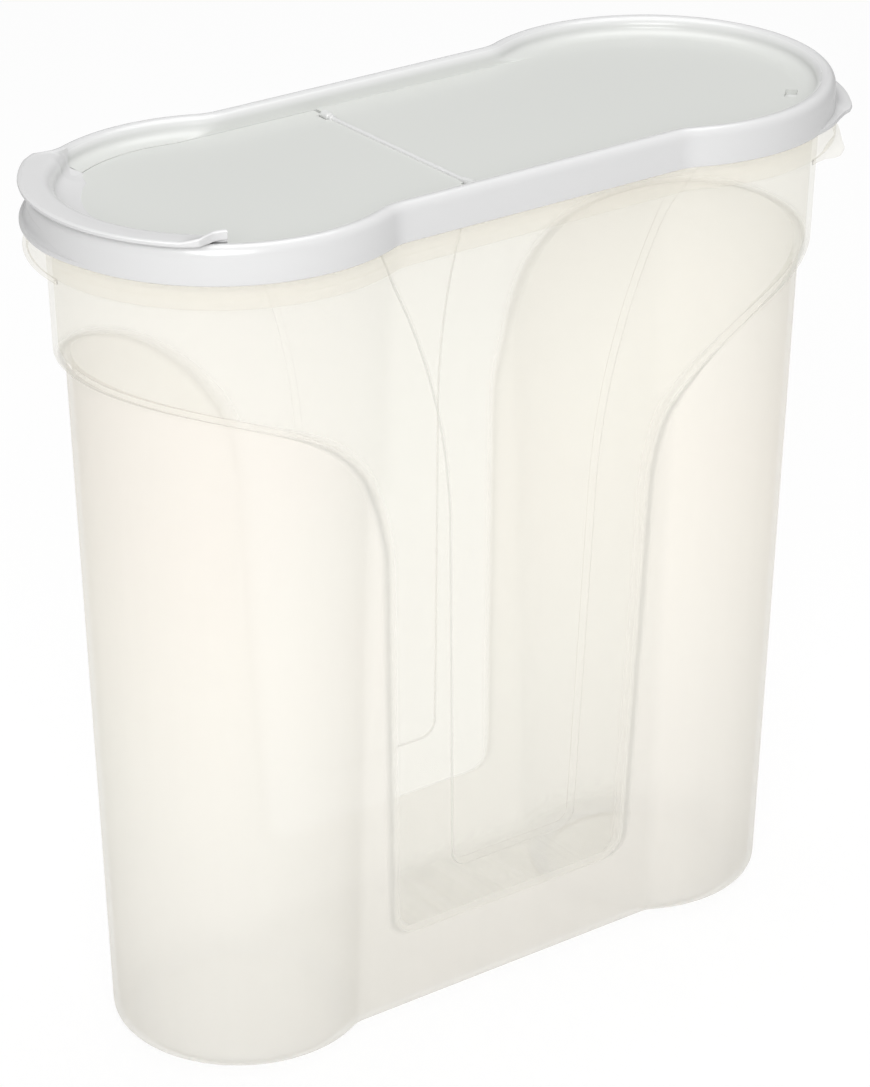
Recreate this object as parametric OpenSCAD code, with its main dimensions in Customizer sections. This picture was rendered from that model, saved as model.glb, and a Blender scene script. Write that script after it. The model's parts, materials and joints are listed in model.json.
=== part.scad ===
// Cereal keeper: a tall dog-bone tub, a press-on lid and a flap that opens for pouring.
// Millimetres, +Z up. The origin is on the ground under the middle of the tub, with the
// pouring end towards -X and the long sides facing -Y and +Y.

/* [Tub] */
// Distance between the centres of the two round ends
end_pitch = 154; // [130:1:180]
// Radius of a round end at the floor, before the bottom edge is rounded
base_r = 39.4; // [34:0.2:43]
// How far the waist is drawn in from the round ends, on each side
waist_dip = 5.6; // [3:0.2:9]
// Radius where a round end runs into the waist
neck_r = 9; // [5:0.5:14]
// Slope of the walls, as millimetres outward per millimetre of height
draft = 0.03; // [0.015:0.005:0.035]
// Height from the floor's underside to the top of the rim shelf
body_h = 258.4; // [210:0.4:300]
// Thickness of the walls
wall = 1.6; // [1.2:0.1:2]
// Thickness of the floor
floor_t = 2; // [1.4:0.1:4]
// Radius of the bottom edge
edge_r = 4; // [2.5:0.5:6]

/* [Feet] */
// Height of the two pads under the round ends
foot_h = 1.6; // [0.8:0.2:3]
// Distance from the bottom edge's inner end to a pad
foot_inset = 2; // [1:0.5:6]
// Width of a pad's ring
foot_ring = 6; // [3:0.5:12]

/* [Window] */
// How far the upper band stands out over the frosted round ends
band_step = 3.3; // [1:0.1:3.6]
// How far the window stands out over the frosted waist
window_step = 0.8; // [0.4:0.1:1.2]
// Height of the window's lower edge above the floor's underside
window_foot = 27.4; // [15:0.5:45]
// Width of the window at its lower edge
window_w = 88.4; // [70:0.4:94]
// Radius of the window's lower corners
window_corner = 8; // [4:0.5:14]
// Height above the floor's underside at which the window starts to flare
flare_start = 154.4; // [110:0.4:165]
// Radius of the flare over the frosted round ends
flare_r = 60; // [45:1:62]
// Slope, in degrees, at which the flare eases into the long sweep to the ends
flare_end = 22; // [16:1:30]
// Radius of the long sweep to the ends
sweep_r = 170; // [120:5:190]
// Slope, in degrees, of the sweep's last stretch round the tips
sweep_end = 8; // [4:1:12]

/* [Inner panel] */
// How far the inner panel stands out over the window
panel_step = 0.8; // [0.4:0.1:1.2]
// Height of the inner panel's lower edge above the floor's underside
panel_foot = 45.4; // [34:0.5:60]
// Width of the inner panel at its lower edge
panel_w = 47.2; // [30:0.4:60]
// Radius of the inner panel's lower corners
panel_corner = 6; // [3:0.5:10]
// Height above the floor's underside at which the inner panel starts to flare
panel_flare_start = 160.4; // [130:0.4:180]
// Radius of the inner panel's flare
panel_flare_r = 190; // [150:5:260]
// Slope, in degrees, at the top of the inner panel's flare
panel_flare_end = 42; // [36:1:46]

/* [Rim] */
// How far the crest of the lid's bead stands outside the top of the tub's frosted wall
rim_out = 5.348; // [4.8:0.1:8]
// How far the rim's waist is drawn in from its round ends
rim_dip = 6.3; // [3:0.1:9]
// Radius where the rim's round ends run into its waist
rim_neck_r = 16; // [12:0.5:30]
// How far the rim's skirt stands outside the bead's crest
flange_out = 3; // [2:0.1:5]
// Height of the rim's skirt
flange_h = 6.6; // [4:0.2:10]
// Height of the collar that the lid presses onto
collar_h = 7.6; // [6:0.2:12]
// Thickness of the collar
collar_t = 1.8; // [1.4:0.1:2.2]
// Height of the snap bead round the outside of the collar
snap = 0.3; // [0.2:0.05:0.4]
// How far the tub's finger tabs stand outside the rim's skirt
rim_tab_out = 2.8; // [1.5:0.1:4]

/* [Lid] */
// Thickness of the lid's walls
lid_t = 1.5; // [1.2:0.1:2]
// Room over the collar in the lid's hollow bead
collar_room = 2.4; // [0.4:0.1:4]
// Clearance between the lid's channel and the collar, on each side
lid_fit = 0.4; // [0.3:0.05:0.6]
// How far the bottom of the lid's skirt stands outside the bead's crest
skirt_out = 2.8; // [2.7:0.1:4]
// Depth of the flat panel below the top of the bead
recess_h = 5.1; // [4:0.1:7]
// Width of the hollow slope between the bead and the flat panel, at the round ends
slope_end = 5.2; // [3:0.1:8]
// Width of the hollow slope at the waist
slope_waist = 0.5; // [0.3:0.1:4]
// How far the lid's inner wall reaches down inside the collar
plug_h = 3.4; // [2:0.2:6]
// How far the lid's finger tab and the flap's thumb lip stand outside the lid's skirt
tab_out = 4.7; // [3:0.1:8]
// Angle that the finger tabs span
tab_span = 86; // [50:2:100]
// How far the low tab at the pouring end stands outside the lid's skirt
heel_out = 2.2; // [1.2:0.1:3]

/* [Flap] */
// Distance of the hinge from the middle of the lid, towards the pouring end
hinge_off = 17; // [0:1:30]
// Half of the hinge's visible length
hinge_half = 33; // [24:0.5:35]
// Diameter of the hinge pins
pin_d = 2.2; // [1.8:0.1:3]
// Radial clearance of the hinge pins in their sockets
pin_fit = 0.05; // [0.03:0.01:0.09]
// Length of each hinge pin
pin_l = 3.4; // [2.5:0.1:5]
// Diameter of the thin roll that the flap turns on, between the pins
roll_d = 1.5; // [1.2:0.1:2]
// Clearance round the flap
flap_fit = 0.4; // [0.3:0.05:0.8]
// Thickness of the flap
flap_t = 1.4; // [1.2:0.1:2]
// Width of the ledge that the flap rests on
ledge_w = 5; // [3:0.5:8]
// Depth of the flap's seal below the flap
seal_h = 4; // [2.5:0.5:6]
// Angle that the flap's thumb lip spans round the pouring end
lip_span = 100; // [70:5:110]
// Height of the ears at the two ends of the thumb lip
ear_h = 1.4; // [0.8:0.1:2]

/* [Hidden] */
half_pitch = end_pitch / 2;
end_steps = 11; // flats round each quarter of a round end
neck_steps = 3; // flats round each neck
beyond = 1; // how far a cutting shape runs past what it cuts
sink = 0.2; // how far one shape of a piece runs into the next, so that they fuse
clear_of_tips = 40; // how far the window's outline runs on past the tub's tips

// Heights, from the ground up
shelf_gap = 0.3; // gap between the tub's shelf and the lid's skirt
snap_drop = 2.6; // distance of the snap bead below the collar's top
shelf_z = foot_h + body_h;
collar_z = shelf_z + collar_h;
channel_z = collar_z + collar_room;
crest_z = channel_z + lid_t;
panel_z = crest_z - recess_h;
skirt_z = shelf_z + shelf_gap;

// Round ends along the crest of the lid's bead, and distances outward from that crest
rim_r = base_r + draft * body_h + rim_out;
skirt_lean = 0.4; // how far the lid's skirt leans out over its height
channel_out = skirt_out - lid_t - skirt_lean / 2;
collar_out = channel_out - lid_fit - snap;
collar_in = collar_out - collar_t;
channel_in = collar_in - lid_fit;
bead_in = channel_in - lid_t;
bead_fall_out = 3.4; // drop of the bead's outer shoulder below its crest
bead_fall_in = min(2.6, recess_h - 1.5); // drop of its inner shoulder
bead_out = skirt_out - skirt_lean;
tab_reach = rim_r + skirt_out + tab_out;
rim_step = 0.5; // the tub's skirt steps in by this much at half its height

// The recess in the lid
recess_r = rim_r + bead_in - slope_end;
recess_w = rim_r - rim_dip + bead_in - slope_waist;
recess_neck = 20; // radius where the flat panel's round ends run into its sides
catch_at = 46; // angle of the two small notches from the far tip
catch_size = [2.6, 6, 2.2];

// The flap and its hinge
hinge_x = -hinge_off;
axis_z = panel_z + 0.1;
ledge_z = panel_z - flap_t;
plug_z = ledge_z - lid_t - plug_h;
hinge_gap = roll_d / 2 + flap_fit;
boss_wall = 0.85;
corner_cut = 3; // room between the flap's corners and the hinge's bosses
boss_r = pin_d / 2 + pin_fit + boss_wall;
boss_y = hinge_half + flap_fit;
mouth_edge = hinge_x - ledge_w - boss_r;
lip_in = rim_r + bead_in;
lip_z = crest_z + flap_fit;
lip_top = lip_z + flap_t;

// A dog-bone outline: two round ends of radius r, a waist of half width w, necks of radius f
function quarter(r, w, f) =
    let (run = sqrt((r + f) ^ 2 - (w + f) ^ 2), turn = atan2(w + f, -run))
    concat(
        [for (i = [0:end_steps]) let (a = turn * i / end_steps)
            [half_pitch + r * cos(a), r * sin(a)]],
        [for (i = [1:neck_steps]) let (a = turn - 180 - (turn - 90) * i / neck_steps)
            [half_pitch - run + f * cos(a), w + f + f * sin(a)]]);

function bone(r, w, f) =
    let (q = quarter(r, w, f), n = len(q))
    concat(
        q,
        [for (i = [n - 1:-1:0]) [-q[i].x, q[i].y]],
        [for (i = [1:n - 1]) [-q[i].x, -q[i].y]],
        [for (i = [n - 1:-1:1]) [q[i].x, -q[i].y]]);

// Two triangles that join four corners
function quad(a, b, c, d) = [[a, b, c], [a, c, d]];

// A flat cap over a ring of n points whose halves mirror each other
function cap(n) = concat(
    [[0, 1, n - 1]],
    [for (k = [1:n / 2 - 2]) each quad(k, k + 1, n - k - 1, n - k)],
    [[n / 2 - 1, n / 2, n / 2 + 1]]);

function flip(faces, shift) = [for (f = faces) [f[2] + shift, f[1] + shift, f[0] + shift]];

function skin(n, j, k) = [for (i = [0:n - 1])
    each quad(j * n + i, k * n + i, k * n + (i + 1) % n, j * n + (i + 1) % n)];

// A solid through dog-bone rings [r, w, f, z], closed by a cap at each end
module loft(rings) {
    n = len(bone(rings[0][0], rings[0][1], rings[0][2]));
    last = len(rings) - 1;
    polyhedron(
        points = [for (g = rings) for (p = bone(g[0], g[1], g[2])) [p.x, p.y, g[3]]],
        faces = concat(
            [for (j = [0:last - 1]) each skin(n, j, j + 1)],
            cap(n),
            flip(cap(n), last * n)));
}

// A closed hoop through dog-bone rings, the last one joined to the first
module hoop(rings) {
    n = len(bone(rings[0][0], rings[0][1], rings[0][2]));
    m = len(rings);
    polyhedron(
        points = [for (g = rings) for (p = bone(g[0], g[1], g[2])) [p.x, p.y, g[3]]],
        faces = [for (j = [0:m - 1]) each skin(n, j, (j + 1) % m)]);
}

// The tub's wall at height z, moved outward by out, with more at the ends and at the waist
function tub_ring(z, out, at_ends = 0, at_waist = 0) =
    let (r = base_r + draft * (z - foot_h) + out)
    [r + at_ends, r - waist_dip + at_waist, neck_r - out, z];

// A ring of the rim or the lid, d outward from the crest of the bead
function rim_ring(d, z) = [rim_r + d, rim_r - rim_dip + d, rim_neck_r - d, z];

function arc(c, r, a0, a1, n) = [for (i = [0:n]) let (a = a0 + (a1 - a0) * i / n) c + r * [cos(a), sin(a)]];

// Right half of a window outline in X and Z: foot, corner, leaning side and flaring arcs.
// inset moves it inward, so that the inside of the wall follows the outside.
function window_side(foot, w, corner, start, bends, inset) =
    let (z0 = foot_h + foot + inset, hw = w / 2 - inset, c = corner - inset,
        lean = atan(draft), p0 = [hw + draft * (start - foot), foot_h + start],
        r1 = bends[0][0] + inset, c1 = p0 + r1 * [cos(lean), -sin(lean)],
        a1 = bends[0][1] + 90, bend1 = arc(c1, r1, 180 - lean, a1, 10))
    concat(
        arc([hw - c, z0 + c], c, -90, 0, 4),
        bend1,
        len(bends) == 1 ? [] :
            let (p1 = bend1[10], r2 = bends[1][0] + inset, a2 = bends[1][1] + 90,
                c2 = p1 - r2 * [cos(a1), sin(a1)], bend2 = arc(c2, r2, a1, a2, 5))
            concat([for (i = [1:5]) bend2[i]], [bend2[5] + clear_of_tips * [sin(a2), -cos(a2)]]));

module window_prism(side) {
    top = [side[len(side) - 1].x, collar_z + collar_h];
    right = concat(side, [top]);
    left = [for (i = [len(right) - 1:-1:0]) [-right[i].x, right[i].y]];
    rotate([90, 0, 0])
        linear_extrude(4 * base_r, center = true)
            polygon(concat(right, left));
}

// The whole tub as a solid (out = 0) or the space inside it (out = -wall)
module tub_form(out) {
    floor_z = out < 0 ? foot_h + floor_t : foot_h;
    top = out < 0 ? shelf_z + beyond : shelf_z - wall / 2;
    e = edge_r + out;
    loft(concat(
        [for (a = [0:30:90]) tub_ring(floor_z + e * (1 - cos(a)), out - e * (1 - sin(a)))],
        [tub_ring(top, out)]));
    intersection() {
        loft([for (z = [foot_h + edge_r, top]) tub_ring(z, out, band_step, window_step)]);
        window_prism(window_side(window_foot, window_w, window_corner, flare_start,
            [[flare_r, flare_end], [sweep_r, sweep_end]], -out));
    }
    intersection() {
        loft([for (z = [foot_h + edge_r, top])
            tub_ring(z, out, band_step + panel_step, window_step + panel_step)]);
        window_prism(window_side(panel_foot, panel_w, panel_corner, panel_flare_start,
            [[panel_flare_r, panel_flare_end]], -out));
    }
}

// Shelf, skirt with its half-height step, and the collar with its snap bead
module rim() {
    skirt_mid = shelf_z - flange_h / 2;
    snap_z = collar_z - snap_drop;
    hoop([
        rim_ring(flange_out, shelf_z - flange_h),
        rim_ring(flange_out, skirt_mid),
        rim_ring(flange_out - rim_step, skirt_mid + rim_step),
        rim_ring(flange_out - rim_step, shelf_z),
        rim_ring(collar_out, shelf_z),
        rim_ring(collar_out, snap_z - 1),
        rim_ring(collar_out + snap, snap_z),
        rim_ring(collar_out, snap_z + 1),
        rim_ring(collar_out, collar_z),
        rim_ring(collar_in, collar_z),
        rim_ring(collar_in, shelf_z),
        tub_ring(shelf_z, -wall - beyond),
        tub_ring(shelf_z - wall, -wall - beyond),
        rim_ring(flange_out - wall, shelf_z - wall),
        rim_ring(flange_out - wall, shelf_z - flange_h)]);
}

// Outline of a bent strip between radii r0 and r1 with round ends
function strip(r0, r1, half) =
    let (r = (r1 - r0) / 2, middle = (r1 + r0) / 2,
        end = arc(middle * [cos(half), sin(half)], r, half, half + 180, 8),
        start = arc(middle * [cos(half), -sin(half)], r, 180 - half, 360 - half, 8))
    concat(
        arc([0, 0], r1, -half, half, 24), [for (i = [1:7]) end[i]],
        arc([0, 0], r0, half, -half, 24), [for (i = [1:7]) start[i]]);

// A flat finger tab round one end, from r0 to r1
module end_tab(side, r0, r1, z, t) {
    translate([side * half_pitch, 0, z]) mirror([side < 0 ? 1 : 0, 0, 0])
        linear_extrude(t) polygon(strip(r0, r1, tab_span / 2));
}

module tub() {
    color("#efeee3") difference() {
        union() {
            tub_form(0);
            rim();
            for (side = [-1, 1])
                end_tab(side, rim_r + flange_out - beyond, rim_r + flange_out + rim_tab_out,
                    shelf_z - flange_h, wall);
        }
        tub_form(-wall);
    }
    color("#efeee3") for (side = [-1, 1]) translate([side * half_pitch, 0, 0]) foot_pad();
}

module foot_pad() {
    pad_r = base_r - edge_r - foot_inset;
    difference() {
        cylinder(h = foot_h + floor_t / 2, r = pad_r, $fn = 120);
        translate([0, 0, -beyond]) cylinder(h = foot_h + beyond, r = pad_r - foot_ring, $fn = 120);
    }
}

// The flat panel's outline inside the bead
function recess_ring(z) = [recess_r, recess_w, recess_neck, z];

// The lid's upper surface as a solid: skirt, rounded bead, hollow slope and flat panel
module lid_top() {
    wall_top = rim_ring(bead_in, crest_z - bead_fall_in);
    foot = recess_ring(panel_z);
    loft(concat(
        [rim_ring(skirt_out, skirt_z)],
        [for (a = [0, 25, 50, 75]) rim_ring(bead_out * cos(a), crest_z - bead_fall_out * (1 - sin(a)))],
        [for (a = [100:25:150]) rim_ring(bead_in * -cos(a), crest_z - bead_fall_in * (1 - sin(a)))],
        [for (b = [90:-30:0]) [for (k = [0:3])
            let (s = k == 3 ? 1 - cos(b) : sin(b)) foot[k] + (wall_top[k] - foot[k]) * s]]));
}

// The lid's underside: a channel for the collar, and the inner wall that reaches down inside it
module lid_under() {
    loft([
        rim_ring(channel_out, skirt_z - beyond),
        rim_ring(channel_out, channel_z),
        rim_ring(channel_in, channel_z),
        rim_ring(channel_in, plug_z),
        rim_ring(bead_in, plug_z),
        rim_ring(bead_in, panel_z - lid_t)]);
}

// Outline of the pouring mouth and of what fits it: the round end, then straight to x1
module mouth_2d(inset, x1) {
    r = recess_r - inset;
    hw = recess_w - inset;
    corner = 6;
    translate([-half_pitch, 0]) circle(r, $fn = 180);
    translate([-half_pitch, -hw]) square([x1 - corner + half_pitch, 2 * hw]);
    translate([-half_pitch, corner - hw]) square([x1 + half_pitch, 2 * (hw - corner)]);
    for (s = [-1, 1]) translate([x1 - corner, s * (hw - corner)]) circle(corner, $fn = 48);
}

module lid() {
    color("#f4f4f2") difference() {
        union() {
            difference() {
                lid_top();
                lid_under();
                flap_pocket();
            }
            flap_ledge();
            for (s = [-1, 1]) hinge_boss(s);
            end_tab(1, rim_r + skirt_out - beyond, tab_reach, skirt_z, lid_t);
            end_tab(-1, rim_r + skirt_out - beyond, rim_r + skirt_out + heel_out, skirt_z, lid_t);
        }
        translate([0, 0, ledge_z - lid_t - beyond]) linear_extrude(lid_t + 2 * beyond)
            mouth_2d(ledge_w, mouth_edge);
        for (s = [-1, 1]) hinge_socket(s);
        for (s = [-1, 1]) catch_notch(s);
    }
}

// The space that the flap lies in, down to its ledge
module flap_pocket() {
    intersection() {
        loft([recess_ring(ledge_z), recess_ring(panel_z + beyond)]);
        translate([-2 * half_pitch, -rim_r, ledge_z - beyond])
            cube([2 * half_pitch + hinge_x + hinge_gap, 2 * rim_r, flap_t + 3 * beyond]);
    }
}

module flap_ledge() {
    intersection() {
        loft([rim_ring(bead_in + lid_t / 2, ledge_z - lid_t), rim_ring(bead_in + lid_t / 2, ledge_z)]);
        translate([-2 * half_pitch, -rim_r, ledge_z - 2 * lid_t])
            cube([2 * half_pitch + hinge_x + hinge_gap + lid_t, 2 * rim_r, 4 * lid_t]);
    }
    // Step from the ledge up to the fixed panel
    translate([hinge_x + hinge_gap, lid_t - recess_w, ledge_z - lid_t])
        cube([lid_t, 2 * (recess_w - lid_t), lid_t + flap_t - sink]);
}

// Bearing for one hinge pin, between the flap's corner and the bead
module hinge_boss(s) {
    len = recess_w + sink - boss_y;
    drop = axis_z - ledge_z + sink;
    translate([hinge_x, s * (boss_y + len / 2), axis_z]) {
        rotate([90, 0, 0]) cylinder(h = len, r = boss_r, center = true, $fn = 48);
        translate([0, 0, -drop / 2]) cube([1.7 * boss_r, len, drop], center = true);
    }
}

module hinge_socket(s) {
    deep = pin_l + flap_fit;
    translate([hinge_x, s * (boss_y - beyond + (deep + beyond) / 2), axis_z])
        rotate([90, 0, 0]) cylinder(h = deep + beyond, d = pin_d + 2 * pin_fit, center = true, $fn = 48);
}

// Small notch at the foot of the far end's slope
module catch_notch(s) {
    translate([half_pitch, 0, 0]) rotate(s * catch_at)
        translate([recess_r - beyond, 0, panel_z]) cube(catch_size, center = true);
}

// The flap's flat plate, cut away round the lid's two hinge bosses
module flap_plate_2d() {
    difference() {
        intersection() {
            union() {
                translate([-half_pitch, 0]) circle(recess_r - flap_fit, $fn = 180);
                translate([-half_pitch, flap_fit - recess_w])
                    square([half_pitch + hinge_x, 2 * (recess_w - flap_fit)]);
            }
            translate([-2 * half_pitch, -rim_r]) square([2 * half_pitch + hinge_x, 2 * rim_r]);
        }
        for (s = [-1, 1]) translate([hinge_x, s * (hinge_half + recess_w / 2)])
            square([2 * (boss_r + corner_cut), recess_w], center = true);
    }
}

// Section of the thumb lip in radius and height: out of the plate, up the slope and over the bead
module lip_2d() {
    gap = flap_fit;
    r0 = recess_r - gap;
    r1 = lip_in - gap;
    z1 = crest_z - bead_fall_in;
    polygon(concat(
        [[r0 - 4, ledge_z + 0.4], [r0 - 0.2, ledge_z + 0.4], [r0 - 0.2, panel_z + 0.2]],
        [for (b = [30, 60, 90]) [r0 + (r1 - r0) * sin(b), z1 - (z1 - panel_z - gap) * cos(b)]],
        [for (a = [30, 60, 90]) [r1 + (rim_r - r1) * (1 - cos(a)), z1 + (lip_z - z1) * sin(a)]],
        [[tab_reach - 0.6, lip_z], [tab_reach, lip_z + 0.5], [tab_reach - 0.1, lip_top - 0.5],
            [tab_reach - 0.7, lip_top]],
        [for (a = [90:-22.5:0]) [r1 - flap_t + (rim_r - r1) * (1 - cos(a)), z1 + (lip_top - z1) * sin(a)]],
        [for (b = [70, 45, 20]) [r0 - 4 + (r1 - flap_t - r0 + 4) * sin(b), z1 - (z1 - panel_z) * cos(b)]],
        [[r0 - 4, panel_z - 0.2]]));
}

// Section of an ear, a low ridge across the lip's end
module ear_2d() {
    polygon([[lip_in + 1, lip_top - 0.5], [tab_reach - 1.2, lip_top - 0.5], [tab_reach - 1.2, lip_top + ear_h / 2],
        [tab_reach - 2.4, lip_top + ear_h], [lip_in + 3, lip_top + ear_h], [lip_in + 1.5, lip_top + ear_h / 2]]);
}

module thumb_lip() {
    ear_span = 4;
    translate([-half_pitch, 0, 0]) {
        rotate([0, 0, 180 - lip_span / 2]) rotate_extrude(angle = lip_span, $fn = 180) lip_2d();
        for (a = [180 - lip_span / 2, 180 + lip_span / 2 - ear_span])
            rotate([0, 0, a]) rotate_extrude(angle = ear_span, $fn = 180) ear_2d();
    }
}

// Rim under the flap that plugs the mouth
module seal() {
    seal_t = 1.2;
    translate([0, 0, ledge_z - seal_h]) linear_extrude(seal_h + flap_t / 2) difference() {
        mouth_2d(ledge_w + flap_fit, mouth_edge - flap_fit);
        mouth_2d(ledge_w + flap_fit + seal_t, mouth_edge - flap_fit - seal_t);
    }
}

// Roll along the hinge line, with a pin out of each end
module hinge_roll() {
    translate([hinge_x, 0, axis_z]) rotate([90, 0, 0]) {
        cylinder(h = 2 * hinge_half, d = roll_d, center = true, $fn = 48);
        for (s = [-1, 1]) translate([0, 0, s * (hinge_half + (flap_fit + pin_l - 1) / 2)])
            cylinder(h = flap_fit + pin_l + 1, d = pin_d, center = true, $fn = 48);
    }
}

module flap() {
    color("#f4f4f2") {
        translate([0, 0, ledge_z]) linear_extrude(flap_t) flap_plate_2d();
        hinge_roll();
        thumb_lip();
        seal();
    }
}

tub();
lid();
flap();
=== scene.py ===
"""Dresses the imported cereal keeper: a translucent tub, a white lid and its pouring flap.

Lengths are in metres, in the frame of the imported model: +Z up, the pouring end at -X.
"""
import json
import math
from functools import cached_property

import bmesh
import bpy
import numpy as np
from mathutils import Matrix, Vector
from mathutils.geometry import delaunay_2d_cdt


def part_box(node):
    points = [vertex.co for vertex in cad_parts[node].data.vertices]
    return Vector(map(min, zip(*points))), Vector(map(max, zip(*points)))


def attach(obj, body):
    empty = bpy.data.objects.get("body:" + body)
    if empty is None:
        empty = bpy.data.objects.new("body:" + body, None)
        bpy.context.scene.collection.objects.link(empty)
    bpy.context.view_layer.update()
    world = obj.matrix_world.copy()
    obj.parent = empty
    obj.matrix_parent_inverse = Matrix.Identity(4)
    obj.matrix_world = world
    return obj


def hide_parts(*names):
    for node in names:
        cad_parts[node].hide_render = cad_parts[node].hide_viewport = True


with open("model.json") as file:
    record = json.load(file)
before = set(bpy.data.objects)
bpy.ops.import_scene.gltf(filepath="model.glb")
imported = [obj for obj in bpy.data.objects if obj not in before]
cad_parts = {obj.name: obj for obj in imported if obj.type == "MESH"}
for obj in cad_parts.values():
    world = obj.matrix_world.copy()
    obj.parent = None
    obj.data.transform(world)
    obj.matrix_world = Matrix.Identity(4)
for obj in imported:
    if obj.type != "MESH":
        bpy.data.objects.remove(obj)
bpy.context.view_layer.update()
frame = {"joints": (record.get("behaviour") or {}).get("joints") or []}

bl_info = {
    "name": "Cereal keeper",
    "version": (1, 0, 0),
    "blender": (4, 5, 0),
    "location": "View3D > Sidebar > Keeper",
    "description": "Builds the tub, lid, flap and studio of a cereal keeper round its packed frame",
    "category": "Object",
}

MM = 0.001
HINGE = next(joint for joint in frame["joints"] if joint["name"] == "flap_hinge")
HINGE_X, _, HINGE_Z = HINGE["pos_m"]
TUB_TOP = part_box("tub")[1].z


def mm(default, name, description):
    """A length whose default is given in millimetres."""
    return bpy.props.FloatProperty(
        name=name, description=description, default=default * MM, unit="LENGTH", precision=5)


def angle(degrees, name, description):
    return bpy.props.FloatProperty(
        name=name, description=description, default=math.radians(degrees), subtype="ANGLE")


def share(default, name, description):
    return bpy.props.FloatProperty(
        name=name, description=description, default=default, min=0, max=1, subtype="FACTOR")


def colour(default, name, description):
    return bpy.props.FloatVectorProperty(
        name=name, description=description, default=default, size=3, min=0, max=1, subtype="COLOR")


class TubSizes(bpy.types.PropertyGroup):
    """Sizes of the tub's walls, relief and rim"""
    half_pitch: mm(77, "Half pitch", "From the middle to a round end's centre")
    base_r: mm(39.4, "Base radius", "Radius of the round ends at the floor")
    waist_dip: mm(5.6, "Waist dip", "How far the waist is drawn in")
    neck_r: mm(9, "Neck radius", "Radius between a round end and the waist")
    draft: bpy.props.FloatProperty(
        name="Draft", description="Outward lean of the walls per height", default=0.03)
    wall: mm(1.6, "Wall", "Thickness of the walls")
    floor: mm(2, "Floor", "Thickness of the floor")
    edge_r: mm(4, "Edge radius", "Radius of the bottom edge")
    foot_h: mm(1.6, "Foot height", "Height of the ring pads under the round ends")
    foot_out: mm(33.4, "Foot outer radius", "Outer radius of a ring pad")
    foot_in: mm(27.4, "Foot inner radius", "Inner radius of a ring pad")
    shelf: mm(TUB_TOP / MM - 7.6, "Shelf", "Height of the rim's shelf")
    band_step: mm(3.3, "Band step", "How far the clear band stands out at the ends")
    window_step: mm(0.5, "Window step", "How far the clear window stands out")
    panel_step: mm(0.8, "Panel step", "How far the panel stands out of the window")
    relief_round: share(0.6, "Relief rounding", "Rounding of a relief's edge, of its step")


class WindowSizes(bpy.types.PropertyGroup):
    """Outlines of the clear window and of the panel inside it"""
    foot: mm(27.4, "Window foot", "Height of the window's lower edge")
    width: mm(88.4, "Window width", "Width of the window at its lower edge")
    corner: mm(8, "Window corner", "Radius of the window's lower corners")
    flare_start: mm(154.4, "Flare start", "Height at which the window flares")
    flare_r: mm(60, "Flare radius", "Radius of the window's flare")
    flare_end: angle(22, "Flare end", "Slope at which the flare eases into the sweep")
    sweep_r: mm(170, "Sweep radius", "Radius of the sweep towards the tips")
    sweep_end: angle(8, "Sweep end", "Slope at the end of the sweep")
    panel_foot: mm(45.4, "Panel foot", "Height of the panel's lower edge")
    panel_width: mm(47.2, "Panel width", "Width of the panel at its lower edge")
    panel_corner: mm(6, "Panel corner", "Radius of the panel's lower corners")
    panel_flare_start: mm(160.4, "Panel flare start", "Height at which the panel flares")
    panel_flare_r: mm(190, "Panel flare radius", "Radius of the panel's flare")
    panel_flare_end: angle(42, "Panel flare end", "Slope at the top of the panel's flare")


class RimSizes(bpy.types.PropertyGroup):
    """Sizes that the tub's rim and the lid share, outward from the crest of the lid's bead"""
    rim_r: mm(52.5, "Rim radius", "Radius of the round ends along the bead's crest")
    rim_dip: mm(6.3, "Rim dip", "How far the rim's waist is drawn in")
    rim_neck: mm(16, "Rim neck", "Radius between the rim's round ends and waist")
    flange_out: mm(3, "Flange", "How far the tub's skirt stands out")
    flange_h: mm(6.6, "Flange height", "Height of the tub's skirt")
    rim_step: mm(0.5, "Rim step", "Step at half the height of the tub's skirt")
    collar_out: mm(0.4, "Collar outside", "Outer face of the collar")
    collar_in: mm(-1.4, "Collar inside", "Inner face of the collar")
    snap: mm(0.3, "Snap bead", "Height of the snap bead on the collar")
    snap_drop: mm(2.6, "Snap drop", "From the collar's top to the snap bead")
    ear_out: mm(4.1, "Ear", "How far the tub's thumb ears stand out")
    ear_t: mm(1.7, "Ear thickness", "Thickness of a thumb ear")
    ear_drop: mm(1.5, "Ear drop", "How far an ear reaches below the skirt")


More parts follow.
